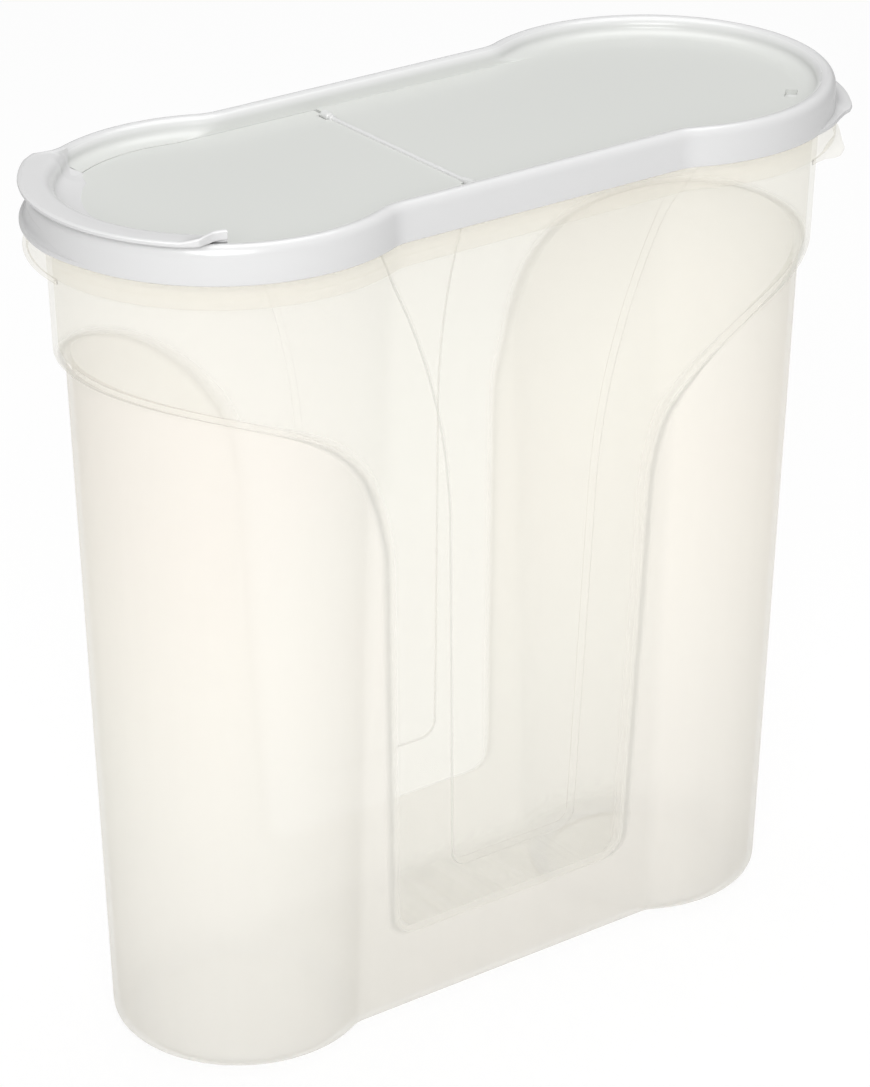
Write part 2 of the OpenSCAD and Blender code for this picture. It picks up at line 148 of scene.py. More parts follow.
class LidSizes(bpy.types.PropertyGroup):
    """Sizes of the lid and of the flap that lies in it"""
    sheet: mm(1.5, "Lid wall", "Thickness of the lid")
    room: mm(2.4, "Room", "Room over the collar in the hollow bead")
    skirt_out: mm(2.8, "Lid skirt", "Bottom of the skirt, outward from the crest")
    bead_out: mm(2.4, "Bead outside", "Outer shoulder of the bead")
    bead_in: mm(-3.3, "Bead inside", "Inner shoulder of the bead")
    channel_out: mm(1.1, "Channel outside", "Outer face of the collar's channel")
    channel_in: mm(-1.8, "Channel inside", "Inner face of the collar's channel")
    fall_out: mm(3.4, "Outer fall", "Drop of the bead's outer shoulder")
    fall_in: mm(2.6, "Inner fall", "Drop of the bead's inner shoulder")
    skirt_gap: mm(0.3, "Skirt gap", "Gap between the skirt and the tub's shelf")
    recess: mm(5.1, "Recess", "Depth of the flat panel below the bead")
    recess_r: mm(44, "Recess radius", "Radius of the panel's round ends")
    recess_w: mm(42.4, "Recess half width", "Half width of the panel at its waist")
    recess_neck: mm(20, "Recess neck", "Radius of the panel's necks")
    plug: mm(3.4, "Plug", "How far the inner wall reaches down")
    tab_out: mm(4.7, "Tab", "How far the finger tab stands out")
    tab_t: mm(1.5, "Tab thickness", "Thickness of the tab's edge")
    heel_out: mm(1.9, "Heel", "How far the heel at the pouring end stands out")
    ledge: mm(5, "Ledge", "Width of the ledge that the flap rests on")
    flap_fit: mm(0.4, "Flap clearance", "Clearance of the flap's lip and seal")
    plate_fit: mm(0.12, "Plate clearance", "Clearance round the flap's plate")
    flap_t: mm(1.4, "Flap thickness", "Thickness of the flap")
    seal_h: mm(4, "Seal height", "Depth of the seal below the flap")
    seal_t: mm(1.2, "Seal thickness", "Thickness of the seal")
    hinge_half: mm(33, "Hinge half length", "Half of the hinge's visible length")
    roll_r: mm(0.75, "Roll radius", "Radius of the roll that the flap turns on")
    pin_r: mm(1.1, "Pin radius", "Radius of the hinge pins")
    pin_l: mm(3.4, "Pin length", "Length of a hinge pin")
    boss_r: mm(1.4, "Boss radius", "Radius of the lid's hinge bosses")
    boss_l: mm(4, "Boss length", "Length of the lid's hinge bosses")
    lip_out: mm(4.7, "Lip", "Reach of the thumb lip from the bead's crest")
    lip_span: angle(116, "Lip span", "Angle that the thumb lip spans")
    curl_h: mm(1.4, "Curl height", "Height of the curl at the lip's near end")
    notch_at: angle(46, "Notch place", "Angle of the catch notch from the far tip")
    notch_l: mm(7, "Notch length", "Length of the notch along the panel's edge")
    notch_w: mm(3.6, "Notch width", "Width of the notch")
    notch_h: mm(4, "Notch depth", "Depth of the notch")


class Finish(bpy.types.PropertyGroup):
    """Colours and finishes of the plastics and the studio"""
    natural: colour((0.99, 0.978, 0.94), "Natural plastic", "Colour of the tub's plastic")
    warm: colour((0.99, 0.915, 0.88), "Warm tint", "Tint of the tub's warm patches")
    rim: colour((0.99, 0.945, 0.885), "Rim tint", "Tint of the tub's skirt under the lid")
    # Painted shade: a grey laid over the tub's lower part, darker towards the floor.
    low_painted_shade: colour((0.87, 0.86, 0.855), "Cool tint", "Tint low down on the tub")
    # Painted shade: the line tint and its strength darken the relief's steps and the inner floor's edge,
    # where shade falls.
    painted_line_shade: colour((0.45, 0.46, 0.44), "Line tint", "Tint along the edges of the relief")
    line: share(0.85, "Line strength", "How much of the line tint shows")
    milk: share(0.42, "Milkiness", "Share of the light that a skin passes on softly")
    frost: share(0.62, "Frosting", "Roughness of the frosted walls")
    gloss: share(0.22, "Gloss", "Roughness of the clear window")
    frosted_alpha: share(0.5, "Frosted opacity", "Opacity of one frosted skin")
    clear_alpha: share(0.19, "Clear opacity", "Opacity of one clear skin")
    # Painted light and shade on one white plastic: the bead and skirt take the lit tone, and the flat panel
    # and the flap take a darker painted-shade grey.
    white: colour((0.68, 0.68, 0.682), "White plastic", "Colour of the lid's bead and skirt")
    panel: colour((0.62, 0.632, 0.608), "Panel white", "Colour of the flat panel and the flap")
    floor: colour((0.78, 0.78, 0.78), "Floor", "Colour of the studio floor")


# Outlines of what stands out round the ends: angles from the tip in degrees, towards +Y at the
# far end and towards -Y at the pouring end, each with its share of the full reach.
FAR_TAB = ((-68, 0), (-62, 0.16), (-57, 0.31), (-50, 0.43), (-46, 0.61), (-43, 0.9), (-40, 1),
           (40, 1), (43, 0.9), (46, 0.61), (50, 0.43), (57, 0.31), (62, 0.16), (68, 0))
HEEL = ((-66, 0), (-56, 0.6), (-44, 1), (-22, 1), (-13, 0.9), (-5, 0.79), (2, 0.53), (12, 0.16), (20, 0))
THUMB_EAR = ((-69, 0), (-66, 0.08), (-62, 0.3), (-60.5, 0.78), (-58, 1), (-53, 0.93), (-48, 0.58),
             (-42, 0.39), (-30, 0.29), (-10, 0.1), (0, 0))
LIP_TAPER = ((0, 0), (45, 0), (50, 0.14), (52, 0.5), (54, 0.8), (56, 0.94), (58, 1))
CURL_RISE = ((0, 0), (45, 0), (49, 0.5), (53, 1), (58, 1))


GROUPS = {"keeper_tub": TubSizes, "keeper_window": WindowSizes, "keeper_rim": RimSizes,
          "keeper_lid": LidSizes, "keeper_finish": Finish}


def sizes():
    scene = bpy.context.scene
    return scene.keeper_tub, scene.keeper_rim, scene.keeper_lid


def lid_heights():
    """Heights of the lid's hollow above the collar, of the bead's crest and of the flat panel."""
    lid = sizes()[2]
    hollow = TUB_TOP + lid.room
    crest = hollow + lid.sheet
    return hollow, crest, crest - lid.recess


def shares(turn, outline):
    """Share of an outline at an angle in degrees, on straight lines between its points."""
    return float(np.interp(turn, *zip(*outline)))


# Outlines. A dog-bone is followed by a running value: 0 at the tip, 1 and 2 at the two ends of
# the neck and 3 in the middle of the waist. One quarter is made and mirrored.

def neck_reach(r, w, f):
    """From the centre of a round end to the centre of its neck, along the length."""
    return np.sqrt((r + f) ** 2 - (w + f) ** 2)


def bone(run, r, w, f):
    """Points of one quarter of a dog-bone with end radius r, half waist w and neck radius f."""
    half_pitch = sizes()[0].half_pitch
    run = np.asarray(run, float)
    r, w, f = (np.broadcast_to(np.asarray(v, float), run.shape) for v in (r, w, f))
    reach = neck_reach(r, w, f)
    turn = np.arctan2(w + f, -reach)
    end = turn * np.clip(run, 0, 1)
    neck = turn - np.pi - (turn - np.pi / 2) * np.clip(run - 1, 0, 1)
    x = np.where(run <= 1, half_pitch + r * np.cos(end), half_pitch - reach + f * np.cos(neck))
    y = np.where(run <= 1, r * np.sin(end), w + f + f * np.sin(neck))
    side = run > 2
    x = np.where(side, (half_pitch - reach) * (3 - run), x)
    y = np.where(side, w, y)
    return np.stack([x, y], -1)


def waist_run(x, r, w, f):
    """The running value at which a dog-bone's straight waist passes x, left of the middle."""
    return 3 + x / (sizes()[0].half_pitch - neck_reach(r, w, f))


def running(end=46, neck=8, side=26, extra=()):
    """Running values of a quarter, with extra ones added and near copies left out."""
    parts = [np.linspace(0, 1, end + 1), np.linspace(1, 2, neck + 1), np.linspace(2, 3, side + 1)]
    values = np.concatenate(parts)
    keep = [v for v in values if all(abs(v - e) > 0.004 or v in (0, 1, 2, 3) for e in extra)]
    return np.unique(np.round([*keep, *extra], 9))


def ring(run, r, w, f, z):
    points = bone(run, r, w, f)
    return np.column_stack([points, np.broadcast_to(z, len(points))])


def tub_ring(run, z, out=0.0, band=0.0, panel=0.0):
    """A ring of the tub's wall at height z; band and panel say how much relief it has."""
    tub = sizes()[0]
    r = tub.base_r + tub.draft * (z - tub.foot_h) + out
    ends = band * tub.band_step + panel * tub.panel_step
    waist = band * tub.window_step + panel * tub.panel_step
    return ring(run, r + ends, r - tub.waist_dip + waist, tub.neck_r - out, z)


def rim_ring(run, d, z):
    """A ring of the rim or the lid, d outward from the bead's crest."""
    rim = sizes()[1]
    return ring(run, rim.rim_r + d, rim.rim_r - rim.rim_dip + d, rim.rim_neck - d, z)


def recess_ring(run, z):
    lid = sizes()[2]
    return ring(run, lid.recess_r, lid.recess_w, lid.recess_neck, z)


def arc(centre, r, start, end, steps):
    """Points of an arc in a plane, with angles in radians."""
    turn = np.linspace(start, end, steps + 1)
    return np.column_stack([centre[0] + r * np.cos(turn), centre[1] + r * np.sin(turn)])


def flat_loop(flat, z):
    return np.column_stack([flat, np.full(len(flat), z)])


def degrees(start, end, count):
    """Angles in radians between two angles in degrees."""
    return np.radians(np.linspace(start, end, count))


def fillet(points, radii, steps=4):
    """A polyline with its corners rounded by the given radii; the ends stay as they are."""
    made = [points[0]]
    for a, p, b, r in zip(points, points[1:], points[2:], radii):
        a, p, b = (np.array(v, float) for v in (a, p, b))
        one, two = (a - p) / np.linalg.norm(a - p), (b - p) / np.linalg.norm(b - p)
        half = math.acos(np.clip(one @ two, -1, 1)) / 2
        if r <= 0 or half > math.radians(88):
            made.append(tuple(p))
            continue
        reach = min(r / math.tan(half), 0.48 * np.linalg.norm(a - p), 0.48 * np.linalg.norm(b - p))
        middle = one + two
        centre = p + middle / np.linalg.norm(middle) * reach / math.cos(half)
        first, last = p + one * reach - centre, p + two * reach - centre
        sweep = math.pi - 2 * half
        for k in range(steps + 1):
            t = k / steps
            v = (math.sin((1 - t) * sweep) * first + math.sin(t * sweep) * last) / math.sin(sweep)
            made.append(tuple(centre + v))
    made.append(points[-1])
    return made


# Meshes from arrays

def mirrored(verts, faces):
    """Four copies of a quarter, mirrored in X and in Y."""
    signs = [(sx, sy, 1) for sx in (1, -1) for sy in (1, -1)]
    return (np.concatenate([verts * sign for sign in signs]),
            [[k * len(verts) + i for i in face[::sx * sy]]
             for k, (sx, sy, _) in enumerate(signs) for face in faces])


def lofted(rings):
    """Quads between rings of as many points each; the outside is on the right of the run."""
    n = len(rings[0])
    starts = [j * n + i for j in range(len(rings) - 1) for i in range(n - 1)]
    return np.concatenate(rings), [[k, k + 1, k + n + 1, k + n] for k in starts]


class Piece:
    """Gathers patches of vertices and faces, and makes one mesh object of them.

    Tags are kept on the points, to blend along relief lines, or on the faces, to stay crisp.
    """

    def __init__(self, name, blend=False):
        self.name, self.blend = name, blend
        self.bm = bmesh.new()
        self.tags = {}

    def layer(self, tag):
        if tag not in self.tags:
            kind = self.bm.verts if self.blend else self.bm.faces
            self.tags[tag] = kind.layers.float.new(tag)
        return self.tags[tag]

    def add(self, verts, faces, **tags):
        """Faces between new points, tagged by point, or by face with the mean of its points."""
        values = {self.layer(tag): np.broadcast_to(value, len(verts)) for tag, value in tags.items()}
        points = [self.bm.verts.new(co) for co in verts]
        made = [self.bm.faces.new([points[i] for i in corners]) for corners in faces]
        for face in made:
            face.smooth = True
        for layer, value in values.items():
            if self.blend:
                for point, amount in zip(points, value):
                    point[layer] = amount
            else:
                for face, corners in zip(made, faces):
                    face[layer] = value[corners].mean()
        return points

    def tube(self, loops, **tags):
        """Walls between closed loops of as many points each."""
        self.add(*lofted([np.vstack([loop, loop[:1]]) for loop in loops]), **tags)

    def sweep(self, loops, **tags):
        """A closed solid through closed loops, with flat ends."""
        self.tube(loops, **tags)
        for loop in (loops[0], loops[-1]):
            self.bm.faces.new(self.add(loop, [])).smooth = False

    def fill(self, outer, holes=(), up=True, **tags):
        """A flat face inside one closed outline, less its holes."""
        edges = []
        for loop in (outer, *holes):
            made = self.add(loop, [], **(tags if self.blend else {}))
            edges += [self.bm.edges.new(pair) for pair in zip(made, made[1:] + made[:1])]
        result = bmesh.ops.triangle_fill(
            self.bm, edges=edges, use_beauty=True, use_dissolve=False, normal=(0, 0, 1 if up else -1))
        for face in (item for item in result["geom"] if isinstance(item, bmesh.types.BMFace)):
            if (face.normal.z > 0) != up:
                face.normal_flip()
            for tag, value in ({} if self.blend else tags).items():
                face[self.layer(tag)] = value

    def finish(self, material, sharp, weld=0.004 * MM):
        """Welds the patches, marks edges sharper than an angle in degrees and links the object."""
        bmesh.ops.remove_doubles(self.bm, verts=self.bm.verts, dist=weld)
        bmesh.ops.dissolve_degenerate(self.bm, dist=weld, edges=self.bm.edges)
        bmesh.ops.recalc_face_normals(self.bm, faces=self.bm.faces)
        for edge in self.bm.edges:
            pair = len(edge.link_faces) == 2
            edge.smooth = pair and edge.calc_face_angle(0) < math.radians(sharp)
        mesh = bpy.data.meshes.new(self.name)
        self.bm.to_mesh(mesh)
        self.bm.free()
        mesh.materials.append(material)
        made = bpy.data.objects.new(self.name, mesh)
        bpy.context.scene.collection.objects.link(made)
        return made


# The relief lines of the tub's broad sides, as polylines in X and Z from the middle outward

def window_line(inset, panel):
    tub, window = sizes()[0], bpy.context.scene.keeper_window
    foot, width, corner, start, flare_r, flare_end = (
        getattr(window, ("panel_" if panel else "") + key)
        for key in ("foot", "width", "corner", "flare_start", "flare_r", "flare_end"))
    bends = [(flare_r, flare_end, 40 if panel else 30)]
    if not panel:
        bends.append((window.sweep_r, window.sweep_end, 24))
    low = tub.foot_h + foot + inset
    half = width / 2 - inset
    corner -= inset
    line = [(0.0, low), *arc((half - corner, low + corner), corner, -math.pi / 2, 0, 10)]
    at = np.array([half + tub.draft * (start - foot), tub.foot_h + start])
    heading = math.pi - math.atan(tub.draft)
    for k, (bend_r, bend_end, steps) in enumerate(bends):
        r = bend_r + inset
        centre = at - r * np.array([math.cos(heading), math.sin(heading)])
        bend = arc(centre, r, heading, bend_end + math.pi / 2, steps)
        line += [tuple(p) for p in (bend[1:] if k else bend)]
        at, heading = bend[-1], bend_end + math.pi / 2
    if not panel:
        line.append(tuple(at + 60 * MM * np.array([math.sin(heading), -math.cos(heading)])))
    return resampled(np.array(line), 1.2 * MM)


def resampled(line, step):
    """A polyline with more points, none further apart than step."""
    made = [line[0]]
    for a, b in zip(line, line[1:]):
        parts = max(1, math.ceil(np.linalg.norm(b - a) / step))
        made += [a + (b - a) * k / parts for k in range(1, parts + 1)]
    return np.array(made)


class WallPatch:
    """One quarter of the tub's side wall, with its mesh lines along the relief lines.

    The wall is laid out flat, with u along it from the tip to the middle of the waist.
    """

    LEVELS = 78  # grid rows up the wall
    ALONG = 1.5 * MM  # spacing along a relief line
    BESIDE = (0.9 * MM, 0.25 * MM)  # flat rows before a relief's slope
    BEYOND = (0.4 * MM, 1.2 * MM)  # flat rows past it
    FREE = (1.7 * MM, 0.8 * MM)  # before and past these rows, without grid points
    APART = 0.2 * MM  # from a window row to the panel's line

    def __init__(self, out, inset, low, top):
        self.tub = sizes()[0]
        self.out, self.inset, self.low, self.top = out, inset, low, top
        r, w, f = self.tub.base_r + 4 * MM, self.tub.base_r - 1 * MM, self.tub.neck_r
        reach = neck_reach(r, w, f)
        turn = math.atan2(w + f, -reach)
        lengths = [r * turn, f * (turn - math.pi / 2), self.tub.half_pitch - reach]
        self.knots = np.concatenate([[0], np.cumsum(lengths)])
        self.rows = [self.relief_rows(panel) for panel in (False, True)]

    def unrolled(self, run):
        return np.interp(run, [0, 1, 2, 3], self.knots)

    def rolled(self, u):
        return np.interp(u, self.knots, [0, 1, 2, 3])

    def run_at(self, x, z, band):
        """The running value at which the wall's ring at height z reaches x."""
        low, high = np.zeros(len(x)), np.full(len(x), 3.0)
        for _ in range(40):
            middle = (low + high) / 2
            beyond = tub_ring(middle, z, self.out, band)[:, 0] > x
            low, high = np.where(beyond, middle, low), np.where(beyond, high, middle)
        return (low + high) / 2

    def centre_line(self, panel):
        """A relief line on the unrolled wall, from the waist's middle to the tip or the top."""
        line = window_line(self.inset, panel)
        band = 1.0 if panel else 0.5
        r = self.tub.base_r + self.tub.draft * (line[:, 1] - self.tub.foot_h) + self.out
        tip = self.tub.half_pitch + r + self.tub.band_step * band
        inside = line[:, 0] < tip
        if not inside.all():
            last = np.argmin(inside)
            a, b = line[last - 1], line[last]
            t = (tip[last - 1] - a[0]) / (b[0] - a[0])
            line = np.vstack([line[:last], a + (b - a) * t])
        u = self.unrolled(self.run_at(line[:, 0], line[:, 1], band))
        if not panel:
            u[-1] = 0.0
        return np.column_stack([u, line[:, 1]])

    def relief_rows(self, panel):
        """Rows along a relief line with their shares of the step, the line itself and its width."""
        centre = resampled(self.centre_line(panel), self.ALONG)
        along = np.gradient(centre, axis=0)
        normal = np.column_stack([along[:, 1], -along[:, 0]])
        normal /= np.linalg.norm(normal, axis=1)[:, None]
        if normal[len(normal) // 3, 0] < 0:
            normal *= -1
        normal[0] = (0, 1)
        if not panel:
            normal[-1] = (0, 1)
        tub = self.tub
        steps = ([tub.panel_step] * 4 if panel else
                 [tub.band_step, 0.9 * tub.band_step, tub.window_step, tub.window_step])
        width = tub.relief_round * np.interp(self.rolled(centre[:, 0]), range(4), steps) + 0.15 * MM
        offsets = [(-shift, 0.0, 0.0) for shift in self.BESIDE]
        offsets += [(0.0, math.sin(t), 1 - math.cos(t)) for t in np.radians([0, 22, 45, 67, 90])]
        offsets += [(shift, 1.0, 1.0) for shift in self.BEYOND]
        rows = [(amount, centre + normal * (shift + width * part)[:, None])
                for shift, amount, part in offsets]
        return rows, centre, width.max() + self.BEYOND[-1]

    def side_of(self, points, centre):
        """Signed distance of points on the unrolled wall from a line, more than 0 inside."""
        a, b = centre[:-1], centre[1:]
        ab = b - a
        ap = points[:, None, :] - a[None]
        t = np.clip((ap * ab).sum(-1) / (ab ** 2).sum(-1), 0, 1)
        away = ap - t[..., None] * ab
        far = np.linalg.norm(away, axis=-1)
        best = far.argmin(1)
        pick = np.arange(len(points))
        cross = ab[best, 0] * away[pick, best, 1] - ab[best, 1] * away[pick, best, 0]
        return -np.sign(cross) * far[pick, best]

    def at_top(self, row):
        """How many of a row's points come before the wall's top, and u where it crosses it."""
        above = np.nonzero(row[:, 1] > self.top)[0]
        if not len(above):
            return len(row), None
        a, b = row[above[0] - 1], row[above[0]]
        return above[0], a[0] + (b[0] - a[0]) * ((self.top - a[1]) / (b[1] - a[1]))

    def crossings(self):
        """Running values at which the panel's rows leave the wall's top."""
        found = [self.at_top(points)[1] for _, points in self.rows[1][0]]
        return [float(self.rolled(u)) for u in found if u is not None]

    def build(self, run):
        """Vertices, faces and the amount of each relief over the quarter wall."""
        levels = np.linspace(self.low, self.top, self.LEVELS)
        grid = np.stack(np.meshgrid(self.unrolled(run), levels, indexing="ij"), -1).reshape(-1, 2)
        amounts = np.zeros((len(grid), 2))
        keep = np.ones(len(grid), bool)
        for k, (_, centre, width) in enumerate(self.rows):
            side = self.side_of(grid, centre)
            amounts[:, k] = side > 0
            keep &= (side <= -self.FREE[0]) | (side >= width + self.FREE[1])
        keep |= np.isclose(grid[:, 1], self.top) | np.isclose(grid[:, 1], self.low)
        points, marks, edges = [grid[keep]], [amounts[keep]], []
        count = keep.sum()
        for k, (rows, _, _) in enumerate(self.rows):
            for amount, row in rows:
                row = self.clipped(row)
                if k == 0:
                    row = row[self.side_of(row, self.rows[1][1]) < -self.APART]
                points.append(row)
                marks.append(np.tile((1.0, amount) if k else (amount, 0.0), (len(row), 1)))
                edges += [(count + i, count + i + 1) for i in range(len(row) - 1)]
                count += len(row)
        marks = np.concatenate(marks)
        made, _, faces, origins, _, _ = delaunay_2d_cdt(
            [Vector(p / MM) for p in np.concatenate(points)], edges, [], 0, 1e-4)
        flat = np.array([tuple(p) for p in made]) * MM
        amounts = np.array([
            marks[ids[0]] if ids else [self.side_of(p[None], line)[0] > 0 for _, line, _ in self.rows]
            for p, ids in zip(flat, origins)], float)
        verts = tub_ring(self.rolled(flat[:, 0]), flat[:, 1], self.out, *amounts.T)
        return verts, [list(face) for face in faces], amounts

    def clipped(self, row):
        """A row cut off at the wall's top and at the middle of the waist."""
        row = np.column_stack([np.clip(row[:, 0], 0, self.knots[-1]), row[:, 1]])
        count, u = self.at_top(row)
        return row if u is None else np.vstack([row[:count], [u, self.top]])


def top_amounts(patch, run):
    """Relief at the wall's top edge, for the rings that meet it."""
    points = np.column_stack([patch.unrolled(run), np.full(len(run), patch.top)])
    rows, centre, _ = patch.rows[1]
    side = patch.side_of(points, centre)
    panel = (side > 0).astype(float)
    for value, (amount, row) in zip(patch.crossings(), rows):
        panel[np.isclose(run, value, atol=1e-7)] = amount
    return np.ones(len(run)), panel


def turned(side, turn, section):
    """A section of radii and heights, set at an angle in degrees round the axis of one end."""
    centre, a = sizes()[0].half_pitch, math.radians(turn)
    return np.array([
        (side * (centre + r * math.cos(a)), side * r * math.sin(a), z) for r, z in section])


def flare(piece, side, r, low, thick, reach, ease, outline, **tags):
    """An edge that flares out round one end of a wall of radius r and eases up into it."""
    sink, soft = 0.25 * MM, 0.35 * thick
    loops = []
    for turn in np.arange(outline[0][0], outline[-1][0] + 0.5, 1.0):
        e = shares(turn, outline) * (reach + sink) - sink
        section = [(-2 * sink, low), (e - soft, low), (e - 0.3 * soft, low + 0.3 * soft), (e, low + soft),
                   (e, low + thick - soft), (e - 0.3 * soft, low + thick - 0.3 * soft)]
        for rise in degrees(0, 90, 9):
            section.append((e - soft - (e - soft + sink) * math.sin(rise),
                            low + thick + ease * (e + sink) * (1 - math.cos(rise))))
        section.append((-2 * sink, section[-1][1]))
        loops.append(turned(side, turn, [(r + d, z) for d, z in section]))
    piece.sweep(loops, **tags)


def circle(centre_x, r, z, steps=96):
    return flat_loop(arc((centre_x, 0), r, 0, 2 * math.pi, steps)[:-1], z)


def full_loop(quarter):
    """A closed loop from a quarter's points, anticlockwise from the far tip."""
    return np.concatenate([
        quarter, (quarter * (-1, 1, 1))[-2::-1], (quarter * (-1, -1, 1))[1:],
        (quarter * (1, -1, 1))[-2:0:-1]])


def build_tub():
    tub, rim, _ = sizes()
    under, shelf, collar = tub.shelf - tub.wall, tub.shelf, TUB_TOP
    outer = WallPatch(0.0, 0.0, tub.foot_h + tub.edge_r, under)
    inner_low = tub.foot_h + tub.floor + tub.edge_r - tub.wall
    inner = WallPatch(-tub.wall, tub.wall, inner_low, shelf)
    run = running(extra=outer.crossings() + inner.crossings())
    piece = Piece("tub_body", blend=True)

    # Both skins of the wall, with the lower part of each relief's slope marked as a line of painted shade
    for patch, turn, strength in ((outer, 1, 1.0), (inner, -1, 0.2)):
        verts, faces, amounts = patch.build(run)
        on_window, on_panel = ((amounts > 0.2) & (amounts < (0.5, 0.8))).T
        line = np.maximum(0.9 * on_window, on_panel) * strength
        piece.add(*mirrored(verts, [face[::turn] for face in faces]),
                  clear=np.tile(amounts[:, 0], 4), line=np.tile(line, 4))

    # Bottom edge and floor of both skins, the inner edge with a faint line of painted shade, then the ring
    # pads
    floors = []
    for patch, floor_z, line in ((outer, tub.foot_h, 0.0), (inner, tub.foot_h + tub.floor, 0.2)):
        e = tub.edge_r + patch.out
        rings = [tub_ring(run, patch.low, patch.out)]
        rings += [tub_ring(run, floor_z + e * (1 - math.cos(a)), patch.out - e * (1 - math.sin(a)))
                  for a in degrees(90, 0, 7)[1:]]
        floors.append(full_loop(rings[-1]))
        piece.add(*mirrored(*lofted(rings)), clear=0.0, line=line)
    piece.fill(floors[1], clear=0.0)
    holes = [circle(s * tub.half_pitch, tub.foot_out, tub.foot_h) for s in (-1, 1)]
    piece.fill(floors[0], holes, up=False, clear=0.0)
    pad = [(tub.foot_out, tub.foot_h), (tub.foot_out, 0), (tub.foot_in, 0), (tub.foot_in, tub.foot_h)]
    for s in (-1, 1):
        loops = [circle(s * tub.half_pitch, r, z) for r, z in fillet(pad, [0.4 * MM] * 2)]
        piece.tube(loops, clear=0.0)
        piece.fill(loops[-1], up=False, clear=0.0)

    # Rim, from under the shelf over the skirt and the collar to the top of the inner wall
    skirt_low, skirt_mid = shelf - rim.flange_h, shelf - rim.flange_h / 2
    snap_z = collar - rim.snap_drop
    profile = [
        (rim.flange_out - tub.wall, under), (rim.flange_out - tub.wall, skirt_low),
        (rim.flange_out, skirt_low), (rim.flange_out, skirt_mid),
        (rim.flange_out - rim.rim_step, skirt_mid + rim.rim_step),
        (rim.flange_out - rim.rim_step, shelf), (rim.collar_out, shelf),
        (rim.collar_out, snap_z - 1 * MM), (rim.collar_out + rim.snap, snap_z),
        (rim.collar_out, snap_z + 1 * MM), (rim.collar_out, collar), (rim.collar_in, collar),
        (rim.collar_in, shelf)]
    radii = [0.5, 0.5, 0.5, 0.4, 0.4, 0.6, 0.4, 0.4, 0.3, 0.4, 0.5, 0.5, 0.5]
    rounded = fillet([(0, under), *profile, (-8 * MM, shelf)], [r * MM for r in radii])[1:-1]
    top_out = tub_ring(run, under, outer.out, *top_amounts(outer, run))
    top_in = tub_ring(run, shelf, inner.out, *top_amounts(inner, run))
    rings = [top_out, *(rim_ring(run, d, z) for d, z in rounded), top_in]
    piece.add(*mirrored(*lofted(rings)), clear=1.0)
    for side in (-1, 1):
        flare(piece, side, rim.rim_r + rim.flange_out, skirt_low - rim.ear_drop, rim.ear_t,
              rim.ear_out, 0.4, THUMB_EAR, clear=1.0)
    return piece.finish(natural_plastic(), sharp=50)


def lid_profile(run):
    """Rings of the lid from the foot of the recess over the bead to the plug's inner face."""
    tub, _, lid = sizes()
    hollow, crest, panel = lid_heights()
    skirt = tub.shelf + lid.skirt_gap
    plug = panel - lid.flap_t - lid.sheet - lid.plug
    foot = recess_ring(run, panel)
    climb = rim_ring(run, lid.bead_in, crest - lid.fall_in) - foot
    rings = [foot + climb * (math.sin(a), math.sin(a), 1 - math.cos(a)) for a in degrees(0, 90, 10)]
    for out, fall, turns in ((lid.bead_in, lid.fall_in, degrees(0, 90, 12)),
                             (lid.bead_out, lid.fall_out, degrees(90, 0, 12))):
        rings += [rim_ring(run, out * math.cos(a), crest - fall * (1 - math.sin(a))) for a in turns[1:]]
    rest = fillet([
        (lid.bead_out, crest - lid.fall_out), (lid.skirt_out, skirt), (lid.channel_out, skirt),
        (lid.channel_out, hollow), (lid.channel_in, hollow), (lid.channel_in, plug),
        (lid.bead_in, plug), (lid.bead_in, panel - lid.flap_t - lid.sheet)],
        [0.5 * MM, 0.4 * MM, 0.3 * MM, 0.3 * MM, 0.4 * MM, 0.4 * MM])
    return rings + [rim_ring(run, d, z) for d, z in rest[1:]]


def mouth_outline(gap, z, corner=6 * MM):
    """The pouring mouth's outline drawn in by a gap: the round end, then straight to the hinge."""
    tub, _, lid = sizes()
    inset, x1 = lid.ledge + gap, HINGE_X - lid.ledge - lid.boss_r - gap
    r, half = lid.recess_r - inset, lid.recess_w - inset
    meet = math.acos(math.sqrt(max(r ** 2 - half ** 2, 0)) / r)
    return flat_loop(np.concatenate([
        arc((-tub.half_pitch, 0), r, meet, 2 * math.pi - meet, 90),
        arc((x1 - corner, corner - half), corner, -math.pi / 2, 0, 10),
        arc((x1 - corner, half - corner), corner, 0, math.pi / 2, 10)]), z)


def notch_outline(z):
    """Outline of the catch notch in the panel, along the panel's round edge."""
    _, _, lid = sizes()
    outer, half = lid.recess_r - 0.4 * MM, lid.notch_l / 2 / lid.recess_r
    turns = np.degrees(np.linspace(-half, half, 7) - lid.notch_at)
    return np.vstack([turned(1, turn, [(outer, z)]) for turn in turns]
                     + [turned(1, turn, [(outer - lid.notch_w, z)]) for turn in turns[::-1]])


def hinge_cylinder(piece, y0, y1, r, bevel, steps=40, **tags):
    """A closed round bar along the hinge's axis."""
    slant = math.copysign(bevel, y1 - y0)
    ends = [(y0, 0), (y0, r - bevel), (y0 + slant, r), (y1 - slant, r), (y1, r - bevel), (y1, 0)]
    turn = np.linspace(0, 2 * math.pi, steps + 1)
    rings = [np.column_stack([HINGE_X + radius * np.cos(turn), np.full(len(turn), y),
                              HINGE_Z + radius * np.sin(turn)]) for y, radius in ends]
    piece.add(*lofted(rings), **tags)


def end_part(loop, x, side):
    """The part of a loop beyond x, on the right for side 1, in order round that end."""
    part = loop[side * loop[:, 0] >= side * x - 1e-7]
    out = side * part[:, 0] - sizes()[0].half_pitch
    return part[np.argsort(np.arctan2(part[:, 1], out))]


